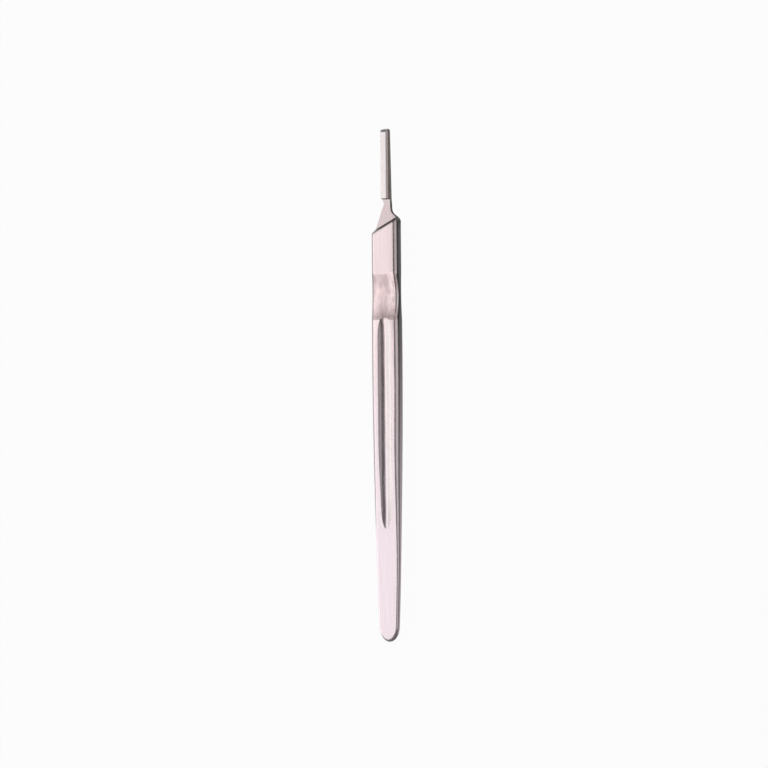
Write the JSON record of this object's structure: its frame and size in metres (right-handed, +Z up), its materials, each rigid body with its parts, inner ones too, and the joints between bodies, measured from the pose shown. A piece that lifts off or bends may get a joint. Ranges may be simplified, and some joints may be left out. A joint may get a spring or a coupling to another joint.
{
  "type": "scalpel handle",
  "caption": "Slim flat steel handle with a long flute and a finger scoop on both faces, a slanted shoulder and a narrow grooved nib that holds a detachable blade.",
  "frame": {"origin": "middle of the handle's length and width, on the surface that its back face lies on", "axes": "+Y along the handle to the blade end, +Z up out of the front face, +X across to the long side of the slanted shoulder"},
  "size_m": [0.0086, 0.125, 0.0026],
  "materials": {
    "steel": "satin ground steel"
  },
  "bodies": {
    "root": {"handle": "steel"}
  },
  "joints": []
}
